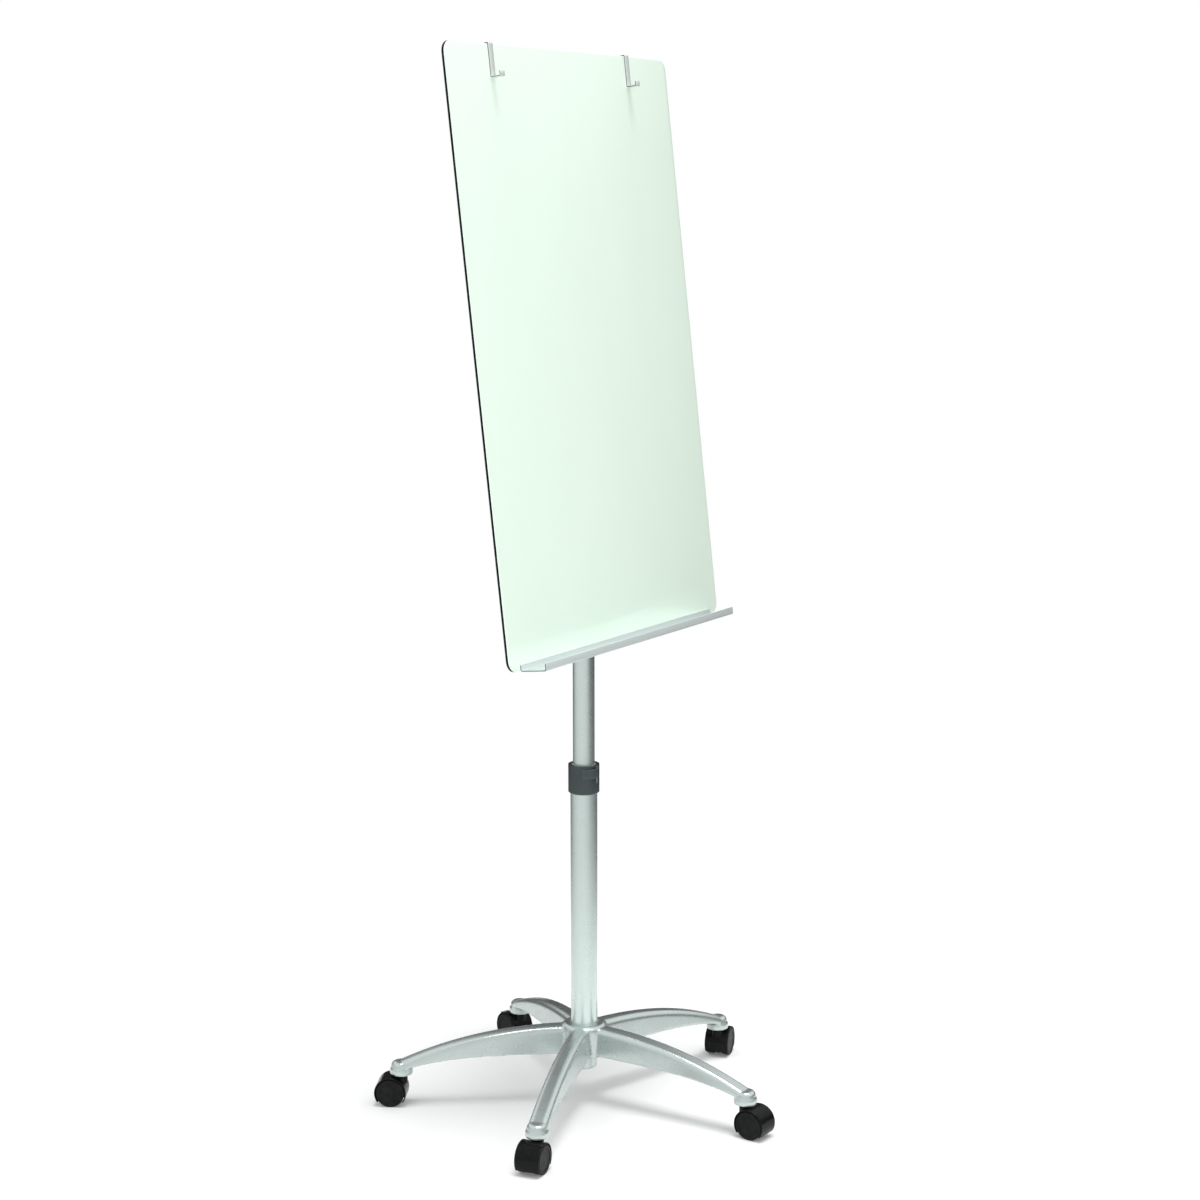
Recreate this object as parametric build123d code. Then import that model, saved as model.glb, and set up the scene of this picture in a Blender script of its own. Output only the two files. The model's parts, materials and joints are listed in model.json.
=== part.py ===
from build123d import *
import os
from math import cos, radians, sin

# A rolling glass whiteboard: a tilting glass board on a telescopic column and a five-star base
# with twin-wheel casters. Millimetres, +Z up. The origin is on the floor under the column's
# axis, and the board's writing face looks towards -Y.

# ---- driving dimensions -------------------------------------------------------------------

# base
CASTER_CIRCLE_R = 326.0
ARM_TOP_Z = 140.0
ARM_DROP = 60.0
ARM_DROP_POWER = 2.35
ARM_UNDER_Z = 91.0
ARM_UNDER_DROP = 25.0
HUB_TOP_Z = 143.0
HUB_R = 41.0
HUB_BOSS_R = 22.0
HUB_BOSS_Z = 60.0
TIP_BOSS_R = 20.5
TIP_BOSS_Z = 56.0
WALL = 4.5
FIT = 0.05

# column
LOWER_TUBE_R = 23.5
UPPER_TUBE_R = 19.0
TUBE_WALL = 2.0
LOWER_TUBE_Z = (96.0, 590.0)
UPPER_TUBE_Z = (400.0, 1168.0)
COLLAR_Z = (563.0, 614.0)
COLLAR_R = 27.3

# board
BOARD_W = 690.0
BOARD_H = 1000.0
BOARD_CORNER_R = 20.0
GLASS_T = 4.0
BACK_T = 0.8
BOARD_TILT = 6.7
PIVOT_Z = 1200.0
PIVOT_TO_FACE = 33.0
PIVOT_TO_CENTRE = 134.0

# tray and hooks
TRAY_L = 627.0
TRAY_DEPTH = 50.0
TRAY_LIP = 12.0
TRAY_FLANGE = 10.0
HOOK_W = 13.0
HOOK_X = (-216.0, 208.0)

# casters: name, angle of the arm, direction from the stem towards the axle, has a brake
WHEEL_R = 25.0
WHEEL_T = 14.0
CASTER_TRAIL = 18.0
STEM_R = 5.5
STEM_BOTTOM_Z = 34.0
CASTERS = [
    ("rear_right", 54.0, 70.0, True),
    ("rear_left", 126.0, 117.5, False),
    ("left", 198.0, 189.0, False),
    ("front", 270.0, 266.5, False),
    ("right", 342.0, 13.5, True),
]

# ---- shared helpers -----------------------------------------------------------------------

nodes = {}


def tube(outer_r, inner_r, z_low, z_high):
    """An upright pipe on the column's axis."""
    height = z_high - z_low
    pipe = Cylinder(outer_r, height) - Cylinder(inner_r, height + 2)
    return Pos(0, 0, (z_low + z_high) / 2) * pipe


def rod(radius, z_low, z_high, x=0.0, y=0.0):
    """An upright round bar."""
    return Pos(x, y, (z_low + z_high) / 2) * Cylinder(radius, z_high - z_low)


def cross_rod(radius, x_low, x_high):
    """A round bar along X."""
    return Pos((x_low + x_high) / 2, 0, 0) * Rot(0, 90, 0) * Cylinder(radius, x_high - x_low)


def side_rod(radius, y_low, y_high):
    """A round bar along Y."""
    return Pos(0, (y_low + y_high) / 2, 0) * Rot(90, 0, 0) * Cylinder(radius, y_high - y_low)


def hex_prism(across_flats, z_low, z_high):
    """An upright hexagonal bar."""
    face = RegularPolygon(across_flats / 2, 6, major_radius=False)
    return Pos(0, 0, z_low) * extrude(face, z_high - z_low)


def block(x, y, z):
    """A box given by its low and high value on each axis."""
    size = (x[1] - x[0], y[1] - y[0], z[1] - z[0])
    return Pos((x[0] + x[1]) / 2, (y[0] + y[1]) / 2, (z[0] + z[1]) / 2) * Box(*size)


def group(shapes):
    """Separate solids that share one node."""
    return Compound(children=list(shapes))


# ---- base ---------------------------------------------------------------------------------


def arm_top(radius):
    """Height of an arm's ridge at a distance from the column's axis."""
    return ARM_TOP_Z - ARM_DROP * (radius / CASTER_CIRCLE_R) ** ARM_DROP_POWER


def arm_under(radius):
    """Height of an arm's lower edge at a distance from the column's axis."""
    return ARM_UNDER_Z - ARM_UNDER_DROP * (radius / CASTER_CIRCLE_R) ** 4


ARM_TOP_WIDTH = (33.0, 30.5)
ARM_UNDER_WIDTH = (46.0, 36.0)


def arm_width(radius, at_hub, at_tip):
    """Width of an arm, which narrows evenly from the hub to the tip."""
    return at_hub + (at_tip - at_hub) * radius / CASTER_CIRCLE_R


def arm_section(radius, inset, under):
    """Trapezoid with a rounded ridge, square to an arm that points along +X."""
    half_top = arm_width(radius, *ARM_TOP_WIDTH) / 2 - inset
    half_under = arm_width(radius, *ARM_UNDER_WIDTH) / 2 - inset
    top = arm_top(radius) - inset
    corners = [(-half_under, under), (half_under, under), (half_top, top), (-half_top, top)]
    face = make_face(Polyline(*corners, close=True).edges())
    face = fillet(face.vertices().group_by(Axis.Y)[-1], half_top * 0.6)
    plane = Plane(origin=(radius, 0, 0), x_dir=(0, 1, 0), z_dir=(1, 0, 0))
    return plane * face


ARM_STATIONS = (22.0, 90.0, 160.0, 220.0, 275.0, CASTER_CIRCLE_R)
HOLLOW_STATIONS = (50.0, 110.0, 170.0, 230.0, 292.0)
RIB_STATIONS = (110.0, 170.0, 230.0)
RIB_T = 3.0
TIP_DOME_R = 18.0
TIP_BOSS_H = 13.0
STEM_SLEEVE_R = 7.0
SOCKET_DEPTH = 18.0


def arm_solid():
    """One hollow arm with its ribs and its caster boss, pointing along +X."""
    outer = loft([arm_section(r, 0.0, arm_under(r)) for r in ARM_STATIONS])
    hollow = loft([arm_section(r, WALL, arm_under(r) - 6.0) for r in HOLLOW_STATIONS])
    body = outer - hollow
    for rib_x in RIB_STATIONS:
        rib_span = (rib_x - RIB_T / 2, rib_x + RIB_T / 2)
        body += block(rib_span, (-30, 30), (arm_under(rib_x) + 2, ARM_TOP_Z + 9)) & outer
    tip_top = arm_top(CASTER_CIRCLE_R) - 0.2
    dome = rod(TIP_DOME_R, TIP_BOSS_Z + 8, tip_top)
    dome = fillet(dome.edges().group_by(Axis.Z)[-1], TIP_DOME_R / 2)
    boss = rod(TIP_BOSS_R, TIP_BOSS_Z, TIP_BOSS_Z + TIP_BOSS_H)
    boss = fillet(boss.edges().group_by(Axis.Z)[-1], 4.0)
    body += Pos(CASTER_CIRCLE_R, 0, 0) * (dome + boss)
    return body


def base_casting():
    """The one-piece five-star base."""
    hub = Pos(0, 0, 88) * extrude(Circle(HUB_R + 3), HUB_TOP_Z - 88, taper=4)
    hub = fillet(hub.edges().group_by(Axis.Z)[-1], 6.0)
    lower_boss = fillet(rod(HUB_BOSS_R, HUB_BOSS_Z, 90).edges().group_by(Axis.Z)[0], 2.5)
    casting = hub + lower_boss
    arm = arm_solid()
    for _, angle, _, _ in CASTERS:
        casting += Rot(0, 0, angle) * arm
    casting -= rod(LOWER_TUBE_R, LOWER_TUBE_Z[0], HUB_TOP_Z + 1)
    casting -= rod(LOWER_TUBE_R + 1.5, HUB_TOP_Z - 3, HUB_TOP_Z + 1)
    casting -= rod(5.2, HUB_BOSS_Z - 1, LOWER_TUBE_Z[0] + 1)
    casting -= rod(12.0, HUB_BOSS_Z - 1, HUB_BOSS_Z + 12)
    socket = rod(STEM_SLEEVE_R, TIP_BOSS_Z - 1, TIP_BOSS_Z + SOCKET_DEPTH, x=CASTER_CIRCLE_R)
    for _, angle, _, _ in CASTERS:
        casting -= Rot(0, 0, angle) * socket
    return casting


def base_nodes():
    """Star base, its column fixing, and the sleeves and stems that hold the casters."""
    nodes["base_casting"] = base_casting()
    nodes["hub_washer"] = tube(11.0, 5.2, HUB_BOSS_Z + 10.4, HUB_BOSS_Z + 12)
    bolt = hex_prism(17.0, HUB_BOSS_Z + 3.4, HUB_BOSS_Z + 10.4)
    nodes["hub_bolt"] = bolt + rod(5.0, HUB_BOSS_Z + 10.4, 128)
    nodes["tube_plug"] = tube(LOWER_TUBE_R - TUBE_WALL, 5.0, LOWER_TUBE_Z[0] + 1, 130)
    sleeves = []
    stems = []
    for _, angle, _, _ in CASTERS:
        place = Rot(0, 0, angle) * Pos(CASTER_CIRCLE_R, 0, 0)
        sleeves.append(place * tube(STEM_SLEEVE_R, STEM_R, TIP_BOSS_Z + 0.5, TIP_BOSS_Z + SOCKET_DEPTH))
        stem = rod(STEM_R, STEM_BOTTOM_Z, TIP_BOSS_Z + SOCKET_DEPTH - 1)
        stems.append(place * chamfer(stem.edges().group_by(Axis.Z)[-1], 1.2))
    nodes["stem_sleeves"] = group(sleeves)
    nodes["caster_stems"] = group(stems)


# ---- column and its clamp -----------------------------------------------------------------

LEVER_Z = (594.5, 610.5)
LEVER_PIN_Y = -26.5
LEVER_PIN_R = 1.6
LEVER_HUB_R = 4.2
LEVER_GAP = 0.4
LEVER_BAND_R = 34.9
LEVER_BAND_T = 5.0
LEVER_ARC = (205.0, 254.0)
KEY_W = 4.0
KEY_DEPTH = 1.2


def polar(radius, angle):
    """Point in plan at an angle from +X."""
    return (radius * cos(radians(angle)), radius * sin(radians(angle)))


def lever_outline():
    """Plan of the clamp lever: a hub, a neck and a band that wraps the collar."""
    mid_angle = sum(LEVER_ARC) / 2
    inner = LEVER_BAND_R - LEVER_BAND_T / 2
    outer = LEVER_BAND_R + LEVER_BAND_T / 2
    start, end = LEVER_ARC
    band_edges = [
        ThreePointArc(polar(inner, start), polar(inner, mid_angle), polar(inner, end)),
        Line(polar(inner, end), polar(outer, end)),
        ThreePointArc(polar(outer, end), polar(outer, mid_angle), polar(outer, start)),
        Line(polar(outer, start), polar(inner, start)),
    ]
    band = make_face(band_edges)
    hub = Pos(0, LEVER_PIN_Y) * Circle(LEVER_HUB_R)
    neck_points = [
        polar(inner, end - 2),
        polar(outer, end - 2),
        (0.6, LEVER_PIN_Y - LEVER_HUB_R + 0.2),
        (-2.4, LEVER_PIN_Y + 3.2),
    ]
    neck = make_face(Polyline(*neck_points, close=True).edges())
    return band + hub + neck


def column_nodes():
    """Lower tube, clamp collar, its bush and lever, and the keyed upper tube."""
    nodes["lower_tube"] = tube(LOWER_TUBE_R, LOWER_TUBE_R - TUBE_WALL, *LOWER_TUBE_Z)

    low, high = COLLAR_Z
    collar = tube(COLLAR_R, LOWER_TUBE_R - TUBE_WALL, low, high)
    lower_rim = collar.edges().filter_by(GeomType.CIRCLE).group_by(Axis.Z)[0].sort_by(SortBy.RADIUS)[-1]
    collar = chamfer(lower_rim, 2.0)
    collar -= rod(LOWER_TUBE_R, low - 1, LOWER_TUBE_Z[1])
    notch_z = (LEVER_Z[0] - 0.5, LEVER_Z[1] + 0.5)
    notch = rod(LEVER_HUB_R + LEVER_GAP, *notch_z, y=LEVER_PIN_Y)
    notch += block((-12, 6.5), (LEVER_PIN_Y - 9, LEVER_PIN_Y + 2.9), notch_z)
    pin = rod(LEVER_PIN_R, LEVER_Z[0] - 12, high - 0.6, y=LEVER_PIN_Y)
    nodes["collar_body"] = collar - notch - pin
    nodes["collar_pin"] = pin

    bush_z = (low - 6, high - 1)
    bush = tube(LOWER_TUBE_R - TUBE_WALL, UPPER_TUBE_R + FIT, *bush_z)
    key_reach = (UPPER_TUBE_R - KEY_DEPTH + 0.2, UPPER_TUBE_R + 1)
    key = block((-KEY_W / 2 + 0.1, KEY_W / 2 - 0.1), key_reach, bush_z)
    nodes["collar_bush"] = bush + key

    lever = Pos(0, 0, LEVER_Z[0]) * extrude(lever_outline(), LEVER_Z[1] - LEVER_Z[0])
    lever -= rod(LEVER_PIN_R + FIT, LEVER_Z[0] - 1, LEVER_Z[1] + 1, y=LEVER_PIN_Y)
    nodes["clamp_lever"] = lever

    upper = tube(UPPER_TUBE_R, UPPER_TUBE_R - TUBE_WALL, *UPPER_TUBE_Z)
    groove = block((-KEY_W / 2, KEY_W / 2), (UPPER_TUBE_R - KEY_DEPTH, UPPER_TUBE_R + 1), (430, 1130))
    glide_r = LOWER_TUBE_R - TUBE_WALL - FIT
    nodes["glide_bush"] = tube(glide_r, UPPER_TUBE_R, UPPER_TUBE_Z[0], UPPER_TUBE_Z[0] + 30)

    plug = rod(UPPER_TUBE_R - TUBE_WALL, UPPER_TUBE_Z[1] - 45, UPPER_TUBE_Z[1])
    cap = rod(UPPER_TUBE_R + 0.5, UPPER_TUBE_Z[1], UPPER_TUBE_Z[1] + 6)
    cap = fillet(cap.edges().group_by(Axis.Z)[-1], 1.5)
    neck = block((-15, 15), (-11, 11), (UPPER_TUBE_Z[1] + 5, PIVOT_Z))
    neck = fillet(neck.edges().filter_by(Axis.Z), 4.0)
    barrel = Pos(0, 0, PIVOT_Z) * cross_rod(14.0, -20, 20)
    head = plug + cap + neck + barrel - Pos(0, 0, PIVOT_Z) * cross_rod(5.0 + FIT, -21, 21)
    pin = Pos(0, 0, UPPER_TUBE_Z[1] - 22) * cross_rod(2.5, -UPPER_TUBE_R - 0.8, UPPER_TUBE_R + 0.8)
    nodes["mast_head"] = head - pin
    nodes["upper_tube"] = upper - groove - pin
    nodes["head_pin"] = fillet(pin.edges().filter_by(GeomType.CIRCLE), 0.8)


# ---- board --------------------------------------------------------------------------------


def on_board(shape):
    """Place a shape drawn on the board: x along it, y up it, z out of its face, 0 at its centre."""
    lean_sin = sin(radians(BOARD_TILT))
    lean_cos = cos(radians(BOARD_TILT))
    origin_y = PIVOT_TO_CENTRE * lean_sin - PIVOT_TO_FACE * lean_cos
    origin_z = PIVOT_Z + PIVOT_TO_CENTRE * lean_cos + PIVOT_TO_FACE * lean_sin
    face = Plane(origin=(0, origin_y, origin_z), x_dir=(1, 0, 0), z_dir=(0, -lean_cos, lean_sin))
    return face.location * shape


def sheet(width, height, corner_r, z_low, z_high):
    """A flat sheet with rounded corners, in the board's own frame."""
    return Pos(0, 0, z_low) * extrude(RectangleRounded(width, height, corner_r), z_high - z_low)


def strip_along_x(points, bend_r, thickness, x_low, x_high):
    """Bent sheet: a path of (out of the face, up the board) points, given a thickness and width."""
    section = trace(FilletPolyline(*points, radius=bend_r), thickness)
    plane = Plane(origin=(x_high, 0, 0), x_dir=(0, 0, 1), z_dir=(-1, 0, 0))
    return extrude(plane * section, x_high - x_low)


BACK_Z = -GLASS_T - BACK_T
PLATE_T = 3.0
PLATE_SIZE = (170.0, 150.0)
RAIL_T = 6.0
RAIL_W = 24.0
RAIL_X = 210.0
RAIL_Y = 400.0
EAR_X = (22.0, 25.0)
EYE_R = 14.0
TILT_BOLT_R = 5.0
SCREW_X = 68.0
SCREW_Y = 58.0


def tilt_bracket():
    """Steel plate on the board's back with two ears that carry the tilt bolt."""
    bracket = Pos(0, 0, BACK_Z - PLATE_T) * extrude(RectangleRounded(*PLATE_SIZE, 10), PLATE_T)
    ear_points = [(BACK_Z, -40), (BACK_Z, 40), (-PIVOT_TO_FACE, EYE_R), (-PIVOT_TO_FACE, -EYE_R)]
    ear_face = make_face(Polyline(*ear_points, close=True).edges())
    for x_low, x_high in (EAR_X, (-EAR_X[1], -EAR_X[0])):
        plane = Plane(origin=(x_high, 0, 0), x_dir=(0, 0, 1), z_dir=(-1, 0, 0))
        bracket += extrude(plane * ear_face, x_high - x_low)
        bracket += Pos(0, 0, -PIVOT_TO_FACE) * cross_rod(EYE_R, x_low, x_high)
    bracket -= Pos(0, 0, -PIVOT_TO_FACE) * cross_rod(TILT_BOLT_R, -30, 30)
    for x in (-SCREW_X, SCREW_X):
        for y in (-SCREW_Y, SCREW_Y):
            bracket -= rod(2.5, BACK_Z - PLATE_T - 1, BACK_Z, x, y)
    return bracket


def board_nodes():
    """Glass, steel back, rails and the bracket that the board tilts on."""
    glass = sheet(BOARD_W, BOARD_H, BOARD_CORNER_R, -GLASS_T, 0)
    glass = chamfer(glass.edges().group_by(Axis.Z)[-1], 0.8)
    back = sheet(BOARD_W, BOARD_H, BOARD_CORNER_R, BACK_Z, -GLASS_T)
    rail_face = RectangleRounded(RAIL_W, 2 * RAIL_Y + 60, 5)
    rail = chamfer(extrude(rail_face, RAIL_T).edges().group_by(Axis.Z)[0], 1.5)
    cross_face = RectangleRounded(2 * RAIL_X - RAIL_W - 1, RAIL_W, 5)
    cross = chamfer(extrude(cross_face, RAIL_T).edges().group_by(Axis.Z)[0], 1.5)
    rail_z = BACK_Z - RAIL_T
    nodes["glass_panel"] = on_board(glass)
    nodes["back_panel"] = on_board(back)
    nodes["side_rails"] = group(on_board(Pos(x, 0, rail_z) * rail) for x in (-RAIL_X, RAIL_X))
    nodes["cross_rails"] = group(on_board(Pos(0, y, rail_z) * cross) for y in (-RAIL_Y, RAIL_Y))

    at_pivot = Pos(0, -PIVOT_TO_CENTRE, 0)
    nodes["tilt_bracket"] = on_board(at_pivot * tilt_bracket())
    screws = []
    for x in (-SCREW_X, SCREW_X):
        for y in (-SCREW_Y, SCREW_Y):
            head = rod(4.5, BACK_Z - PLATE_T - 2.6, BACK_Z - PLATE_T, x, y)
            head = fillet(head.edges().group_by(Axis.Z)[0], 1.5)
            screws.append(on_board(at_pivot * (head + rod(2.5, BACK_Z - PLATE_T, BACK_Z, x, y))))
    nodes["bracket_screws"] = group(screws)

    bolt_line = Pos(0, -PIVOT_TO_CENTRE, -PIVOT_TO_FACE)
    bolt_head = Rot(0, 90, 0) * hex_prism(16.0, -EAR_X[1] - 6.4, -EAR_X[1])
    nodes["tilt_bolt"] = on_board(bolt_line * (bolt_head + cross_rod(TILT_BOLT_R, -EAR_X[1], 44)))
    washers = []
    for low, high in ((20.1, EAR_X[0]), (-EAR_X[0], -20.1)):
        washers.append(on_board(bolt_line * (cross_rod(12, low, high) - cross_rod(TILT_BOLT_R, low, high))))
    nodes["friction_washers"] = group(washers)
    knob_washer = cross_rod(10, EAR_X[1], 26.5) - cross_rod(TILT_BOLT_R, EAR_X[1], 26.5)
    nodes["knob_washer"] = on_board(bolt_line * knob_washer)

    lobes = Circle(16.5)
    for lobe in PolarLocations(15.5, 5):
        lobes += lobe * Circle(5.5)
    grip = Pos(29, 0, 0) * Rot(0, 90, 0) * extrude(lobes, 17)
    grip = fillet(grip.edges().group_by(Axis.X)[-1], 1.5)
    knob = grip + cross_rod(10, 26.8, 29) + cross_rod(11, 46, 48)
    knob -= cross_rod(8, 26.8, 40)
    knob -= cross_rod(TILT_BOLT_R + FIT, 40, 45)
    insert = cross_rod(8, 26.8, 40) - cross_rod(TILT_BOLT_R + FIT, 26, 41)
    nodes["tilt_knob"] = on_board(bolt_line * knob)
    nodes["knob_insert"] = on_board(bolt_line * insert)


# ---- tray and hooks -----------------------------------------------------------------------

TRAY_T = 2.0
TRAY_GAP = 0.2
BRACKET_X = (-230.0, 0.0, 230.0)


def tray_nodes():
    """Pen tray along the board's lower edge and the brackets that carry it."""
    floor_y = -BOARD_H / 2 - TRAY_T / 2
    lip_z = TRAY_DEPTH - TRAY_T / 2
    flange_z = TRAY_GAP + TRAY_T / 2
    path = [
        (flange_z, floor_y + TRAY_FLANGE),
        (flange_z, floor_y),
        (lip_z, floor_y),
        (lip_z, floor_y + TRAY_LIP),
    ]
    tray = strip_along_x(path, 2.6, TRAY_T, -TRAY_L / 2, TRAY_L / 2)
    leg_y = floor_y - TRAY_T / 2 - 1.0
    leg_path = [(32, leg_y), (BACK_Z - 1.0, leg_y), (BACK_Z - 1.0, leg_y + 46)]
    brackets = []
    screws = []
    for x in BRACKET_X:
        leg = strip_along_x(leg_path, 1.6, 2.0, x - 14, x + 14)
        back_hole = rod(2.0, BACK_Z - 3, BACK_Z, x, leg_y + 34)
        floor_hole = Pos(x, 0, 20) * Rot(90, 0, 0) * Cylinder(2.0, 2.2)
        floor_hole = Pos(0, leg_y, 0) * floor_hole
        brackets.append(on_board(leg - back_hole - floor_hole))
        back_screw = rod(2.0, BACK_Z - 2, BACK_Z, x, leg_y + 34)
        back_screw += rod(3.8, BACK_Z - 4, BACK_Z - 2, x, leg_y + 34)
        floor_screw = Pos(x, leg_y, 20) * Rot(90, 0, 0) * Cylinder(2.0, 2.0)
        floor_screw += Pos(x, leg_y - 1.9, 20) * Rot(90, 0, 0) * Cylinder(3.8, 1.8)
        screws.append(on_board(back_screw))
        screws.append(on_board(floor_screw))
    nodes["tray"] = on_board(tray)
    nodes["tray_brackets"] = group(brackets)
    nodes["tray_screws"] = group(screws)


HOOK_T = 2.0
HOOK_GAP = 0.3
HOOK_DROP = 54.0
HOOK_REACH = 20.0
HOOK_TIP = 9.0


def hook_nodes():
    """Two hooks that hang over the board's upper edge and hold a paper pad."""
    half = HOOK_T / 2
    back_z = BACK_Z - HOOK_GAP - half
    front_z = HOOK_GAP + half
    over_y = BOARD_H / 2 + HOOK_GAP + half
    arm_y = BOARD_H / 2 - HOOK_DROP + half
    path = [
        (back_z, over_y - 26),
        (back_z, over_y),
        (front_z, over_y),
        (front_z, arm_y),
        (HOOK_REACH - half, arm_y),
        (HOOK_REACH - half, arm_y - half + HOOK_TIP),
    ]
    for name, x in zip(("hook_left", "hook_right"), HOOK_X):
        nodes[name] = on_board(strip_along_x(path, 1.3, HOOK_T, x - HOOK_W / 2, x + HOOK_W / 2))


# ---- casters ------------------------------------------------------------------------------

HOOD_R = 28.4
HOOD_BORE_R = 26.6
HOOD_HALF_W = 22.0
HOOD_SKIRT_Z = 9.3
HOOD_TOP_Z = 54.5
WEB_T = 6.0
TOWER_R = 7.6
AXLE_R = 3.0
WHEEL_INNER_Y = 8.2
PEDAL_PIVOT = (33.0, 39.0)
PEDAL_HALF_W = 7.2
PEDAL_PIN_R = 2.0


def at_axle(shape):
    """Move a shape drawn about the axle to its place beside the stem."""
    return Pos(CASTER_TRAIL, 0, WHEEL_R) * shape


def at_pedal_pivot(shape):
    """Move a shape drawn about the brake pedal's pivot to its place."""
    return Pos(PEDAL_PIVOT[0], 0, PEDAL_PIVOT[1]) * shape


def caster_hood(has_brake):
    """Arched guard over both wheels, with the web and tower that hold the axle and stem."""
    interior = at_axle(side_rod(HOOD_BORE_R, -HOOD_HALF_W - 1, HOOD_HALF_W + 1))
    guard = at_axle(side_rod(HOOD_R, -HOOD_HALF_W, HOOD_HALF_W))
    guard = fillet(guard.edges().filter_by(GeomType.CIRCLE), 1.2) - interior
    guard -= block((-60, 80), (-30, 30), (-10, HOOD_SKIRT_Z))
    web = at_axle(side_rod(HOOD_BORE_R + 0.2, -WEB_T / 2, WEB_T / 2))
    web &= block((-20, 60), (-10, 10), (12, 60))
    tower = rod(TOWER_R, 28, HOOD_TOP_Z)
    neck = rod(11.0, 40, HOOD_TOP_Z) - interior
    hood = guard + web + tower + neck
    hood -= rod(STEM_R + FIT, STEM_BOTTOM_Z - 0.5, 60)
    hood -= at_axle(side_rod(AXLE_R, -WEB_T, WEB_T))
    if has_brake:
        hood -= block((31, 60), (-7.9, -WEB_T / 2), (29, 49)) + block((31, 60), (WEB_T / 2, 7.9), (29, 49))
        hood -= block((43, 60), (-7.9, 7.9), (29, 49))
        hood -= block((39, 60), (-7.9, 7.9), (41, 49))
        hood += at_pedal_pivot(side_rod(PEDAL_PIN_R, -6.5, 6.5))
    return hood


def brake_pedal():
    """Forked pedal that swings on two stubs moulded on the hood's web."""
    points = [(29, 35.5), (33, 34.2), (41, 35.5), (51, 40), (52.5, 43), (46, 44.8), (33, 43.8), (29, 42.5)]
    side = make_face(Polyline(*points, close=True).edges())
    plane = Plane(origin=(0, PEDAL_HALF_W, 0), x_dir=(1, 0, 0), z_dir=(0, -1, 0))
    pedal = extrude(plane * side, 2 * PEDAL_HALF_W)
    slot_half = WEB_T / 2 + 0.4
    pedal -= block((20, 46.5), (-slot_half, slot_half), (30, 60))
    pedal -= at_pedal_pivot(side_rod(PEDAL_PIN_R + FIT, -10, 10))
    return pedal


def caster_wheel(side):
    """One wheel: a solid rim and disc, hollow behind, with a blind bore for the axle."""
    outer_y = WHEEL_INNER_Y + WHEEL_T
    wheel = side_rod(WHEEL_R, WHEEL_INNER_Y, outer_y)
    wheel = fillet(wheel.edges().group_by(Axis.Y)[-1], 2.0)
    wheel = fillet(wheel.edges().group_by(Axis.Y)[0], 1.2)
    hollow = side_rod(20.5, WHEEL_INNER_Y - 1, WHEEL_INNER_Y + 9)
    hollow -= side_rod(7.0, WHEEL_INNER_Y - 1, WHEEL_INNER_Y + 9)
    wheel -= hollow
    wheel -= side_rod(19.0, outer_y - 0.8, outer_y + 1)
    wheel -= side_rod(AXLE_R + FIT, WHEEL_INNER_Y - 1, 20)
    return at_axle(wheel if side > 0 else Rot(0, 0, 180) * wheel)


def caster_nodes():
    """Five twin-wheel casters, each turned to its own resting direction."""
    for name, arm_angle, trail_angle, has_brake in CASTERS:
        stem_x, stem_y = polar(CASTER_CIRCLE_R, arm_angle)
        place = Pos(stem_x, stem_y, 0) * Rot(0, 0, trail_angle)
        nodes[f"{name}_caster_hood"] = place * caster_hood(has_brake)
        nodes[f"{name}_caster_axle"] = place * at_axle(side_rod(AXLE_R, -19.5, 19.5))
        nodes[f"{name}_caster_wheel_a"] = place * caster_wheel(1)
        nodes[f"{name}_caster_wheel_b"] = place * caster_wheel(-1)
        if has_brake:
            nodes[f"{name}_caster_brake"] = place * brake_pedal()


base_nodes()
column_nodes()
board_nodes()
tray_nodes()
hook_nodes()
caster_nodes()

os.makedirs("parts", exist_ok=True)
for node_name, shape in nodes.items():
    export_step(shape, os.path.join("parts", f"{node_name}.step"))
    print(node_name, round(shape.volume / 1000, 2), "cm3")
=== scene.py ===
import json
from math import atan2, cos, pi, radians, sin

import bmesh
import bpy
from mathutils import Matrix, Vector


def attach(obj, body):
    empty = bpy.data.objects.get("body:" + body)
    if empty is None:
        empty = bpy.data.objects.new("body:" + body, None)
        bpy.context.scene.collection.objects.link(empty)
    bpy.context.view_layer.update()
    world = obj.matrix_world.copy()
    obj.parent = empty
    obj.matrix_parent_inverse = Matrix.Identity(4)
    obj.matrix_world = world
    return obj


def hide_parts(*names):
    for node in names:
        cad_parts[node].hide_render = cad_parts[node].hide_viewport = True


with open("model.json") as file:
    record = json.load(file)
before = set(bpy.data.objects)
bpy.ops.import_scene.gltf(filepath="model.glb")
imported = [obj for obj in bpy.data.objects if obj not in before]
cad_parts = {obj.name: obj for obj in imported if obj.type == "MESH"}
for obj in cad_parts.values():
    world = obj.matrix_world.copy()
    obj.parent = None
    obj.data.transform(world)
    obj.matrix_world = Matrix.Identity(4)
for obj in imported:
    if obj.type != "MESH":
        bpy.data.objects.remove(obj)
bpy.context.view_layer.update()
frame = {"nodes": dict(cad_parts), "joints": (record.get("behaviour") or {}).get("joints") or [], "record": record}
nodes = frame["nodes"]
joints = {joint["name"]: joint for joint in frame["joints"]}

# The rolling whiteboard: metres, +Z up, origin on the floor under the column's axis, and the
# board's writing face towards -Y.

# ---- camera, floor and light --------------------------------------------------------------

CAMERA_AZIMUTH = radians(58.11)
CAMERA_DISTANCE = 4.098
CAMERA_HEIGHT = 1.593
CAMERA_PITCH = radians(9.543)
CAMERA_YAW = radians(0.399)
CAMERA_ROLL = radians(-0.045)
CAMERA_LENS = 72.09
CAMERA_SENSOR = 36.0
TOWARDS_CAMERA = (-sin(CAMERA_AZIMUTH), -cos(CAMERA_AZIMUTH), 0.0)


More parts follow.
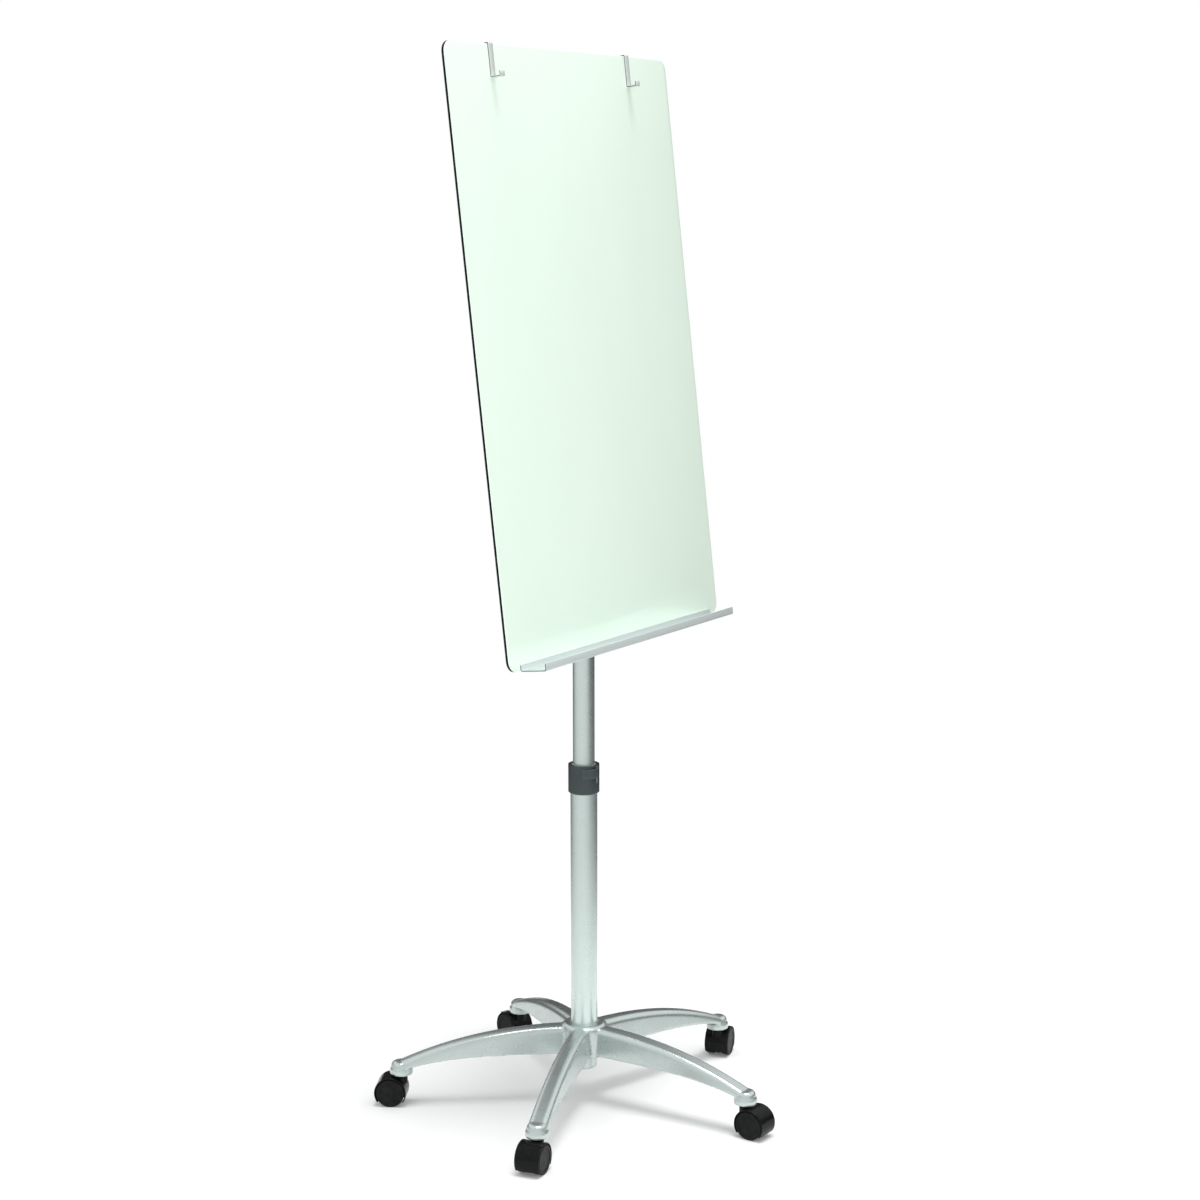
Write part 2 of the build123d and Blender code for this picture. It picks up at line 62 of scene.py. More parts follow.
def make_camera():
    """A camera to the left of the board's front, a little below its upper edge."""
    place = Vector(TOWARDS_CAMERA) * CAMERA_DISTANCE
    place.z = CAMERA_HEIGHT
    heading = CAMERA_AZIMUTH + CAMERA_YAW
    level = Vector((sin(heading), cos(heading), 0))
    right = Vector((cos(heading), -sin(heading), 0))
    up = Vector((0, 0, 1))
    forward = level * cos(CAMERA_PITCH) - up * sin(CAMERA_PITCH)
    above = level * sin(CAMERA_PITCH) + up * cos(CAMERA_PITCH)
    side = right * cos(CAMERA_ROLL) + above * sin(CAMERA_ROLL)
    top = above * cos(CAMERA_ROLL) - right * sin(CAMERA_ROLL)
    data = bpy.data.cameras.new("camera")
    data.lens = CAMERA_LENS
    data.sensor_width = CAMERA_SENSOR
    camera = bpy.data.objects.new("camera", data)
    turn = Matrix((side, top, -forward)).transposed().to_4x4()
    camera.matrix_world = Matrix.Translation(place) @ turn
    bpy.context.scene.collection.objects.link(camera)
    bpy.context.scene.camera = camera


def soft_sun(name, direction, power, spread_angle, casts_shadows):
    """Even light from one direction; one that casts no shadows isn't seen in reflections either."""
    data = bpy.data.lights.new(name, "SUN")
    data.energy = power
    data.angle = radians(spread_angle)
    data.use_shadow = casts_shadows
    lamp = bpy.data.objects.new(name, data)
    lamp.rotation_euler = Vector(direction).to_track_quat("-Z", "Y").to_euler()
    lamp.visible_glossy = casts_shadows
    bpy.context.scene.collection.objects.link(lamp)


def map_range(tree, value, source, target):
    """Map a value from one range to another along a smooth step, clamped."""
    node = tree.nodes.new("ShaderNodeMapRange")
    node.interpolation_type = "SMOOTHSTEP"
    node.inputs["From Min"].default_value, node.inputs["From Max"].default_value = source
    node.inputs["To Min"].default_value, node.inputs["To Max"].default_value = target
    tree.links.new(value, node.inputs["Value"])
    return node.outputs["Result"]


def seen_or_reflected(tree, reflected, seen):
    """One level where the camera sees a surface directly and another where it only lights."""
    ray = tree.nodes.new("ShaderNodeLightPath").outputs["Is Camera Ray"]
    mix = tree.nodes.new("ShaderNodeMix")
    tree.links.new(ray, mix.inputs["Factor"])
    tree.links.new(reflected, mix.inputs["A"])
    mix.inputs["B"].default_value = seen
    return mix.outputs["Result"]


def make_floor():
    """White floor that fades into the surroundings; to all but the camera it is dimmer on the right."""
    bpy.ops.mesh.primitive_plane_add(size=FLOOR_SIZE, location=(0, 0, 0))
    floor = bpy.context.object
    floor.name = "floor"
    surface = bpy.data.materials.new("floor_paint")
    surface.use_nodes = True
    floor.data.materials.append(surface)
    tree = surface.node_tree
    paint = tree.nodes["Principled BSDF"]
    paint.inputs["Base Color"].default_value = (*FLOOR_COLOUR, 1)
    paint.inputs["Roughness"].default_value = 0.85
    paint.inputs["Specular IOR Level"].default_value = 0.15
    place = tree.nodes.new("ShaderNodeNewGeometry").outputs["Position"]
    axes = tree.nodes.new("ShaderNodeSeparateXYZ")
    tree.links.new(place, axes.inputs[0])
    sideways = map_range(tree, axes.outputs["X"], FLOOR_SIDEWAYS, (ROOM_LEFT, ROOM_RIGHT))
    glow = tree.nodes.new("ShaderNodeEmission")
    tree.links.new(seen_or_reflected(tree, sideways, WHITE), glow.inputs["Strength"])
    reach = tree.nodes.new("ShaderNodeVectorMath")
    reach.operation = "LENGTH"
    tree.links.new(place, reach.inputs[0])
    share = map_range(tree, reach.outputs["Value"], FLOOR_FADE, (FLOOR_GLOW, 1.0))
    mix = tree.nodes.new("ShaderNodeMixShader")
    tree.links.new(share, mix.inputs["Fac"])
    tree.links.new(paint.outputs["BSDF"], mix.inputs[1])
    tree.links.new(glow.outputs["Emission"], mix.inputs[2])
    tree.links.new(mix.outputs["Shader"], tree.nodes["Material Output"].inputs["Surface"])


def make_world():
    """A room bright on the left and high at both sides, dim on the right; white where it is seen."""
    world = bpy.data.worlds.new("studio")
    bpy.context.scene.world = world
    world.use_nodes = True
    tree = world.node_tree
    direction = tree.nodes.new("ShaderNodeTexCoord").outputs["Generated"]
    axes = tree.nodes.new("ShaderNodeSeparateXYZ")
    tree.links.new(direction, axes.inputs[0])
    sideways = map_range(tree, axes.outputs["X"], ROOM_SIDEWAYS, (ROOM_LEFT, ROOM_RIGHT))
    across = tree.nodes.new("ShaderNodeVectorMath")
    across.operation = "DOT_PRODUCT"
    across.inputs[1].default_value = (cos(CAMERA_AZIMUTH), -sin(CAMERA_AZIMUTH), 0)
    tree.links.new(direction, across.inputs[0])
    aside = tree.nodes.new("ShaderNodeMath")
    aside.operation = "ABSOLUTE"
    tree.links.new(across.outputs["Value"], aside.inputs[0])
    boxes = map_range(tree, aside.outputs["Value"], CROWN_EDGE, (ROOM_CROWN, ROOM_SIDES))
    height = map_range(tree, axes.outputs["Z"], ROOM_HEIGHTS, (0.0, 1.0))
    above = tree.nodes.new("ShaderNodeMath")
    above.operation = "MULTIPLY"
    tree.links.new(boxes, above.inputs[0])
    tree.links.new(height, above.inputs[1])
    brightest = tree.nodes.new("ShaderNodeMath")
    brightest.operation = "MAXIMUM"
    tree.links.new(sideways, brightest.inputs[0])
    tree.links.new(above.outputs["Value"], brightest.inputs[1])
    level = seen_or_reflected(tree, brightest.outputs["Value"], WHITE)
    tree.links.new(level, tree.nodes["Background"].inputs["Strength"])
    tree.nodes["Background"].inputs["Color"].default_value = (1, 1, 1, 1)


WHITE = 1.0
FLOOR_SIZE = 60
FLOOR_COLOUR = (0.93, 0.935, 0.935)
FLOOR_GLOW = 0.06
# Distances from the column's axis between which the floor's paint gives way to its glow.
FLOOR_FADE = (0.45, 1.9)
# Levels of the room's sides, of its middle overhead and of its upper sides, and the spans over
# which they change: places on the floor for the first, parts of a unit direction for the others.
ROOM_LEFT = 0.80
ROOM_RIGHT = 0.04
ROOM_CROWN = 0.15
ROOM_SIDES = 1.0
FLOOR_SIDEWAYS = (-3.5, 2.2)
ROOM_SIDEWAYS = (-0.85, 0.35)
CROWN_EDGE = (0.08, 0.40)
ROOM_HEIGHTS = (0.15, 0.50)

make_camera()
make_floor()
make_world()
soft_sun("overhead", (0.06, 0.14, -1.0), 1.75, 24, True)
soft_sun("fill", (0.40, 0.92, 0.05), 1.9, 50, False)
bpy.context.scene.view_settings.view_transform = "Standard"

# ---- materials ----------------------------------------------------------------------------


GLOSS_PATCH_RATIO = 3.1
GRAIN_HEIGHT = 0.0004


def noise(tree, coordinates, scale, detail, stretch=(1, 1, 1)):
    """Noise in the object's own space; along an axis with a low stretch it changes slowly."""
    mapping = tree.nodes.new("ShaderNodeMapping")
    mapping.inputs["Scale"].default_value = stretch
    tree.links.new(coordinates, mapping.inputs["Vector"])
    texture = tree.nodes.new("ShaderNodeTexNoise")
    texture.inputs["Scale"].default_value = scale
    texture.inputs["Detail"].default_value = detail
    tree.links.new(mapping.outputs["Vector"], texture.inputs["Vector"])
    return texture.outputs["Fac"]


def spread(tree, value, low, high, clip=0.3):
    """Map the useful middle of a noise value to a range."""
    node = tree.nodes.new("ShaderNodeMapRange")
    node.inputs["From Min"].default_value = clip
    node.inputs["From Max"].default_value = 1 - clip
    node.inputs["To Min"].default_value = low
    node.inputs["To Max"].default_value = high
    tree.links.new(value, node.inputs["Value"])
    return node.outputs["Result"]


def mix_colours(tree, factor, first, second):
    """Blend two colours, each a triple or a node's output."""
    node = tree.nodes.new("ShaderNodeMix")
    node.data_type = "RGBA"
    tree.links.new(factor, node.inputs["Factor"])
    for socket, colour in (("A", first), ("B", second)):
        if isinstance(colour, tuple):
            node.inputs[socket].default_value = (*colour, 1)
        else:
            tree.links.new(colour, node.inputs[socket])
    return node.outputs["Result"]


def scuffs(scale, clip, colour, roughness, stretch=(1, 1, 1)):
    """Scuffs of a size, how sharply they end, and the colour and roughness that they bring."""
    return {"scale": scale, "clip": clip, "colour": colour, "roughness": roughness, "stretch": stretch}


def finish_surface(
    name,
    colour,
    other_colour,
    roughness,
    patch_scale=14.0,
    grain_scale=900.0,
    grain_depth=0.03,
    stretch=(1, 1, 1),
    scuff=None,
    fixed=(),
):
    """A finish whose colour and gloss drift, with a fine grain and scuffs where they are given."""
    material = bpy.data.materials.new(name)
    material.use_nodes = True
    tree = material.node_tree
    shader = tree.nodes["Principled BSDF"]
    coordinates = tree.nodes.new("ShaderNodeTexCoord").outputs["Object"]
    patches = noise(tree, coordinates, patch_scale, 4.0)
    base = mix_colours(tree, spread(tree, patches, 0, 1), colour, other_colour)
    low, high = roughness
    gloss = spread(tree, noise(tree, coordinates, patch_scale * GLOSS_PATCH_RATIO, 5.0), low, high)
    if scuff:
        scratches = noise(tree, coordinates, scuff["scale"], 2.0, scuff["stretch"])
        worn = spread(tree, scratches, 0, 1, scuff["clip"])
        base = mix_colours(tree, worn, base, scuff["colour"])
        raised = tree.nodes.new("ShaderNodeMath")
        raised.operation = "MULTIPLY_ADD"
        raised.inputs[1].default_value = scuff["roughness"]
        tree.links.new(worn, raised.inputs[0])
        tree.links.new(gloss, raised.inputs[2])
        gloss = raised.outputs["Value"]
    tree.links.new(base, shader.inputs["Base Color"])
    tree.links.new(gloss, shader.inputs["Roughness"])
    if grain_depth:
        grain = noise(tree, coordinates, grain_scale, 2.0, stretch)
        bump = tree.nodes.new("ShaderNodeBump")
        bump.inputs["Strength"].default_value = grain_depth
        bump.inputs["Distance"].default_value = GRAIN_HEIGHT
        tree.links.new(grain, bump.inputs["Height"])
        tree.links.new(bump.outputs["Normal"], shader.inputs["Normal"])
    for socket, value in fixed:
        shader.inputs[socket].default_value = value
    return material


def make_materials():
    """Every finish on the object, by the record's slot name, with extra ones for the glass's dark edge and for
    painted light: a painted highlight on the glass's bevel and the lever's flat faces, painted shade on the hooks'
    and tray's side faces.
    """
    made = {}
    made["casting"] = finish_surface(
        "casting_silver_paint",
        (0.545, 0.615, 0.60),
        (0.565, 0.635, 0.62),
        (0.25, 0.29),
        grain_depth=0,
        scuff=scuffs(24, 0.30, (0.535, 0.60, 0.585), 0.02),
        fixed=[("Metallic", 0.82), ("Coat Weight", 0.3), ("Coat Roughness", 0.15)],
    )
    made["tube"] = finish_surface(
        "tube_satin_anodised",
        (0.66, 0.76, 0.73),
        (0.68, 0.78, 0.75),
        (0.26, 0.32),
        grain_depth=0,
        fixed=[("Metallic", 0.85)],
    )
    made["tray"] = finish_surface(
        "tray_satin_anodised",
        (0.60, 0.67, 0.66),
        (0.62, 0.69, 0.68),
        (0.30, 0.38),
        grain_depth=0,
        scuff=scuffs(60, 0.34, (0.61, 0.67, 0.66), 0.04, stretch=(0.3, 2, 2)),
        fixed=[("Metallic", 0.35)],
    )
    made["rails"] = finish_surface(
        "rail_satin_anodised",
        (0.52, 0.54, 0.54),
        (0.58, 0.60, 0.60),
        (0.30, 0.42),
        grain_scale=1500,
        grain_depth=0.12,
        stretch=(1, 0.01, 0.01),
        fixed=[("Metallic", 0.85)],
    )
    made["collar"] = finish_surface(
        "collar_moulded_plastic",
        (0.030, 0.042, 0.043),
        (0.037, 0.050, 0.051),
        (0.30, 0.40),
        patch_scale=30,
        grain_scale=2600,
        grain_depth=0.25,
        fixed=[("Specular IOR Level", 0.5)],
    )
    made["knob"] = finish_surface(
        "knob_moulded_plastic",
        (0.016, 0.016, 0.017),
        (0.022, 0.022, 0.023),
        (0.40, 0.52),
        patch_scale=30,
        grain_scale=2600,
        grain_depth=0.3,
    )
    made["caster_black"] = finish_surface(
        "caster_glossy_nylon",
        (0.0030, 0.0036, 0.0038),
        (0.0045, 0.0050, 0.0052),
        (0.10, 0.17),
        patch_scale=40,
        grain_scale=700,
        grain_depth=0.02,
        scuff=scuffs(160, 0.36, (0.008, 0.008, 0.008), 0.08, stretch=(1, 1, 3)),
        fixed=[("Specular IOR Level", 0.10)],
    )
    made["wheel_black"] = finish_surface(
        "wheel_satin_nylon",
        (0.0042, 0.0050, 0.0054),
        (0.0065, 0.0072, 0.0075),
        (0.30, 0.42),
        patch_scale=40,
        grain_scale=2200,
        grain_depth=0.12,
        scuff=scuffs(120, 0.36, (0.012, 0.012, 0.012), 0.08),
        fixed=[("Specular IOR Level", 0.10)],
    )
    made["back_panel"] = finish_surface(
        "panel_black_powder_coat",
        (0.014, 0.014, 0.016),
        (0.019, 0.019, 0.021),
        (0.42, 0.55),
        patch_scale=5,
        grain_scale=1500,
        grain_depth=0.35,
    )
    made["bracket"] = finish_surface(
        "bracket_black_powder_coat",
        (0.018, 0.018, 0.020),
        (0.025, 0.025, 0.027),
        (0.38, 0.50),
        patch_scale=25,
        grain_scale=1700,
        grain_depth=0.35,
    )
    made["steel"] = finish_surface(
        "steel_zinc_plated",
        (0.50, 0.51, 0.52),
        (0.62, 0.63, 0.62),
        (0.22, 0.36),
        patch_scale=120,
        grain_scale=1800,
        grain_depth=0.1,
        fixed=[("Metallic", 1.0)],
    )
    made["bush"] = finish_surface(
        "bush_natural_nylon",
        (0.62, 0.63, 0.60),
        (0.68, 0.69, 0.66),
        (0.42, 0.55),
        patch_scale=40,
        grain_scale=2000,
        grain_depth=0.1,
    )
    made["brass"] = finish_surface(
        "insert_turned_brass",
        (0.60, 0.42, 0.14),
        (0.68, 0.50, 0.19),
        (0.22, 0.34),
        patch_scale=150,
        grain_scale=3000,
        stretch=(6, 1, 1),
        fixed=[("Metallic", 1.0)],
    )
    made["hook"] = finish_surface(
        "hook_bright_nickel",
        (0.84, 0.88, 0.87),
        (0.88, 0.92, 0.91),
        (0.14, 0.22),
        patch_scale=60,
        grain_scale=2500,
        grain_depth=0.04,
        stretch=(1, 0.1, 0.1),
        fixed=[("Metallic", 0.45)],
    )
    made["glass"] = finish_surface(
        "glass_white_backed",
        (0.735, 0.865, 0.757),
        (0.742, 0.872, 0.766),
        (0.020, 0.045),
        patch_scale=2.2,
        grain_scale=6,
        grain_depth=0.004,
        scuff=scuffs(7, 0.40, (0.730, 0.860, 0.752), 0.03, stretch=(1, 1, 0.35)),
        fixed=[("IOR", 1.52), ("Specular IOR Level", 0.75)],
    )
    made["glass_edge"] = finish_surface(
        "glass_polished_edge",
        (0.004, 0.010, 0.008),
        (0.006, 0.016, 0.012),
        (0.06, 0.12),
        patch_scale=20,
        grain_scale=800,
        fixed=[("IOR", 1.52), ("Specular IOR Level", 0.08)],
    )
    # Painted highlight: the glass's front bevel is coloured whiter than its face to stand for the light that the
    # bevel catches.
    made["glass_bevel_painted_highlight"] = finish_surface(
        "glass_polished_bevel_painted_highlight",
        (0.80, 0.90, 0.85),
        (0.86, 0.94, 0.90),
        (0.10, 0.22),
        patch_scale=60,
        grain_scale=1500,
        fixed=[("IOR", 1.52), ("Specular IOR Level", 0.8)],
    )
    # Painted highlight: the lever's flat top and bottom faces are coloured much lighter than the collar's plastic
    # to stand for the light on them.
    made["lever_painted_highlight"] = finish_surface(
        "lever_flat_faces_painted_highlight",
        (0.110, 0.140, 0.142),
        (0.130, 0.160, 0.162),
        (0.30, 0.40),
        patch_scale=60,
        grain_scale=2600,
        grain_depth=0.2,
    )
    # Painted shade: the hooks' side faces and the tray's end faces are coloured darker than their metal to stand
    # for the shade on them.
    made["side_painted_shade"] = finish_surface(
        "metal_side_painted_shade",
        (0.115, 0.155, 0.140),
        (0.145, 0.185, 0.170),
        (0.35, 0.50),
        patch_scale=150,
        grain_scale=1500,
        grain_depth=0.1,
        fixed=[("Metallic", 0.4)],
    )
    return made


materials = make_materials()
slot_of_node = {row["node"]: row["material_slot"] for row in frame["record"]["subparts"]}

# ---- mesh tools ---------------------------------------------------------------------------

MM = 0.001
SMOOTH_ANGLE = radians(32)
SHARP_ANGLE = radians(35)
FLAT_ANGLE = radians(0.6)
WELD_DISTANCE = 2e-6
ON_AXIS = 1e-7


def mark_smooth(mesh):
    """Smooth shading with crisp creases."""
    for face in mesh.polygons:
        face.use_smooth = True
    mesh.set_sharp_from_angle(angle=SMOOTH_ANGLE)


def make_piece(name, mesh, body, slot, replaced=(), extra=()):
    """Turn a finished mesh into a named piece that rides on a body and has its finish."""
    mark_smooth(mesh)
    indices = [face.material_index for face in mesh.polygons]
    mesh.materials.clear()
    for finish in (slot, *extra):
        mesh.materials.append(materials[finish])
    mesh.polygons.foreach_set("material_index", indices)
    piece = bpy.data.objects.new(name, mesh)
    bpy.context.scene.collection.objects.link(piece)
    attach(piece, body)
    if replaced:
        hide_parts(*replaced)
    return piece


def mesh_from(shape, name):
    """A mesh data block from a bmesh, with outward normals."""
    bmesh.ops.recalc_face_normals(shape, faces=shape.faces)
    mesh = bpy.data.meshes.new(name)
    shape.to_mesh(mesh)
    shape.free()
    return mesh


def cad_copy(node):
    """A welded working copy of a CAD node's mesh."""
    shape = bmesh.new()
    shape.from_mesh(nodes[node].data)
    bmesh.ops.remove_doubles(shape, verts=shape.verts, dist=WELD_DISTANCE)
    return shape


def softened(node, width):
    """A CAD node's shape with its sharp edges rounded off, as a real part's are."""
    shape = cad_copy(node)
    bmesh.ops.dissolve_limit(shape, angle_limit=FLAT_ANGLE, verts=shape.verts, edges=shape.edges)
    sharp = []
    for edge in shape.edges:
        if len(edge.link_faces) == 2 and edge.calc_face_angle(0.0) > SHARP_ANGLE:
            sharp.append(edge)
    bmesh.ops.bevel(
        shape,
        geom=sharp,
        offset=width,
        offset_type="OFFSET",
        segments=2,
        profile=0.5,
        affect="EDGES",
        clamp_overlap=True,
    )
    bmesh.ops.triangulate(shape, faces=[face for face in shape.faces if len(face.verts) > 4])
    return mesh_from(shape, node)


def rounded_corners(points, radii, steps):
    """Outline points with each corner replaced by an arc of its own radius."""
    outline = []
    count = len(points)
    for index, (point, radius) in enumerate(zip(points, radii)):
        here = Vector(point)
        if radius <= 0:
            outline.append(tuple(here))
            continue
        before = (Vector(points[index - 1]) - here).normalized()
        after = (Vector(points[(index + 1) % count]) - here).normalized()
        half = before.angle(after) / 2
        reach = radius / max(1e-9, abs(sin(half) / cos(half)))
        centre = here + (before + after).normalized() * (radius / sin(half))
        start = here + before * reach - centre
        end = here + after * reach - centre
        start_angle = atan2(start.y, start.x)
        sweep = atan2(end.y, end.x) - start_angle
        sweep = (sweep + pi) % (2 * pi) - pi
        for step in range(steps + 1):
            turn = start_angle + sweep * step / steps
            outline.append((centre.x + radius * cos(turn), centre.y + radius * sin(turn)))
    return outline


def lathe(profile, segments, place):
    """Revolve a closed (radius, height) outline about the local Z axis, then put it in place."""
    shape = bmesh.new()
    rings = []
    for radius, height in profile:
        if radius < ON_AXIS:
            rings.append([shape.verts.new((0, 0, height))])
            continue
        ring = []
        for step in range(segments):
            turn = 2 * pi * step / segments
            ring.append(shape.verts.new((radius * cos(turn), radius * sin(turn), height)))
        rings.append(ring)
    for index, ring in enumerate(rings):
        following = rings[(index + 1) % len(rings)]
        if len(ring) == 1 and len(following) == 1:
            continue
        for step in range(segments):
            after = (step + 1) % segments
            corners = [ring[step % len(ring)], ring[after % len(ring)]]
            corners += [following[after % len(following)], following[step % len(following)]]
            unique = list(dict.fromkeys(corners))
            if len(unique) > 2:
                shape.faces.new(unique)
    bmesh.ops.transform(shape, matrix=place, verts=shape.verts)
    return shape


def joined(shapes):
    """Several bmeshes as one."""
    whole = shapes[0]
    for shape in shapes[1:]:
        part = bpy.data.meshes.new("part")
        shape.to_mesh(part)
        shape.free()
        whole.from_mesh(part)
        bpy.data.meshes.remove(part)
    return whole


# ---- the object ---------------------------------------------------------------------------


def dress_cad_nodes():
    """Give every CAD node its finish; those that no piece stands for keep their own shape."""
    for name, node in nodes.items():
        node.data.materials.clear()
        node.data.materials.append(materials[slot_of_node[name]])


ARM_ANGLES = (54, 126, 198, 270, 342)
CASTER_CIRCLE_R = 326 * MM
ARM_STATIONS = 26
ARM_START_R = 18 * MM
# Heights and half widths at the column's axis, with what they lose on the way to the casters.
RIDGE_Z, RIDGE_DROP, RIDGE_POWER = 140, 60, 2.35
UNDER_Z, UNDER_DROP, UNDER_POWER = 91, 25, 4
HALF_TOP, HALF_TOP_LOSS = 16.5, 1.25
HALF_UNDER, HALF_UNDER_LOSS = 23.0, 5.0
RIDGE_ROUNDING = 0.68
RIDGE_STEPS = 6
WALL = 4.5 * MM
RIB_RADII = (110 * MM, 170 * MM, 230 * MM)
RIB_T = 3 * MM
RIB_INSET = 1 * MM
RIB_RAISE = 2 * MM
HUB_SEGMENTS = 72
TIP_SEGMENTS = 48
BASE_VOXEL = 1.7 * MM
BASE_SMOOTHING = 5

# Half outlines as (radius, height) points in millimetres, closed through the axis or a bore.
HUB_PROFILE = [
    (5.2, 72), (12, 72), (12, 60), (19.5, 60), (21.3, 60.8), (22, 62.5), (22, 88), (43.8, 88),
    (40.6, 135), (39.3, 139.5), (34.5, 142.8), (25, 143), (25, 139.5), (23.7, 139.5), (23.7, 96), (5.2, 96),
]
TIP_PROFILE = [
    (7, 56), (19.8, 56), (20.5, 56.7), (20.5, 65.2), (19.6, 67.8), (18, 69), (18, 71), (17.3, 74.6),
    (15.4, 77.4), (12.6, 79.2), (9, 79.8), (0, 79.8), (0, 74), (7, 74),
]


def arm_heights(radius):
    """Heights of an arm's ridge and of its lower edge at a distance from the column's axis."""
    share = radius / CASTER_CIRCLE_R
    ridge = RIDGE_Z - RIDGE_DROP * share**RIDGE_POWER
    under = UNDER_Z - UNDER_DROP * share**UNDER_POWER
    return ridge * MM, under * MM


def arm_outline(radius, inset, raised=0.0):
    """Outline of an arm's section, (across, up), over the ridge from one foot to the other."""
    share = radius / CASTER_CIRCLE_R
    ridge, under = arm_heights(radius)
    half_top = (HALF_TOP - HALF_TOP_LOSS * share) * MM - inset
    half_under = (HALF_UNDER - HALF_UNDER_LOSS * share) * MM - inset
    corners = [
        (-half_under, under + raised),
        (half_under, under + raised),
        (half_top, ridge - inset),
        (-half_top, ridge - inset),
    ]
    top_radius = RIDGE_ROUNDING * half_top
    outline = rounded_corners(corners, [0, 0, top_radius, top_radius], RIDGE_STEPS)
    return outline[1:] + outline[:1]


def arm_channel():
    """One arm as a channel open below, with its ribs, pointing along +X."""
    shape = bmesh.new()
    sections = []
    for station in range(ARM_STATIONS + 1):
        radius = ARM_START_R + (CASTER_CIRCLE_R - ARM_START_R) * station / ARM_STATIONS
        outline = arm_outline(radius, 0.0) + arm_outline(radius, WALL)[::-1]
        sections.append([shape.verts.new((radius, y, z)) for y, z in outline])
    count = len(sections[0])
    for near, far in zip(sections, sections[1:]):
        for step in range(count):
            after = (step + 1) % count
            shape.faces.new((near[step], near[after], far[after], far[step]))
    shape.faces.new(sections[0])
    shape.faces.new(sections[-1][::-1])
    for radius in RIB_RADII:
        ends = []
        for offset in (-RIB_T / 2, RIB_T / 2):
            outline = arm_outline(radius, RIB_INSET, RIB_RAISE)
            ends.append([shape.verts.new((radius + offset, y, z)) for y, z in outline])
        for step in range(len(ends[0])):
            after = (step + 1) % len(ends[0])
            shape.faces.new((ends[0][step], ends[0][after], ends[1][after], ends[1][step]))
        shape.faces.new(ends[0])
        shape.faces.new(ends[1][::-1])
    return shape


def make_base():
    """The star casting: hub, five channel arms and caster bosses run together with soft fillets."""
    upright = Matrix.Identity(4)
    parts = [lathe([(r * MM, z * MM) for r, z in HUB_PROFILE], HUB_SEGMENTS, upright)]
    tip_profile = [(r * MM, z * MM) for r, z in TIP_PROFILE]
    for angle in ARM_ANGLES:
        turn = Matrix.Rotation(radians(angle), 4, "Z")
        arm = arm_channel()
        bmesh.ops.transform(arm, matrix=turn, verts=arm.verts)
        parts.append(arm)
        parts.append(lathe(tip_profile, TIP_SEGMENTS, turn @ Matrix.Translation((CASTER_CIRCLE_R, 0, 0))))
    for part in parts:
        bmesh.ops.recalc_face_normals(part, faces=part.faces)
    mesh = bpy.data.meshes.new("star_base")
    whole = joined(parts)
    whole.to_mesh(mesh)
    whole.free()
    piece = make_piece("star_base", mesh, "base", "casting", ["base_casting"])
    remesh = piece.modifiers.new("skin", "REMESH")
    remesh.mode = "VOXEL"
    remesh.voxel_size = BASE_VOXEL
    remesh.use_smooth_shade = True
    smooth = piece.modifiers.new("fillets", "SMOOTH")
    smooth.factor = 0.5
    smooth.iterations = BASE_SMOOTHING


GLASS_SIZE = (0.690, 1.000)
GLASS_CORNER = 20 * MM
GLASS_THICKNESS = 4 * MM
GLASS_BEVEL = 0.9 * MM
ARRIS = 0.4 * MM
CORNER_STEPS = 14


def rectangle(width, height):
    """Corners of a rectangle about the origin, anticlockwise."""
    half_width, half_height = width / 2, height / 2
    return [
        (-half_width, -half_height),
        (half_width, -half_height),
        (half_width, half_height),
        (-half_width, half_height),
    ]


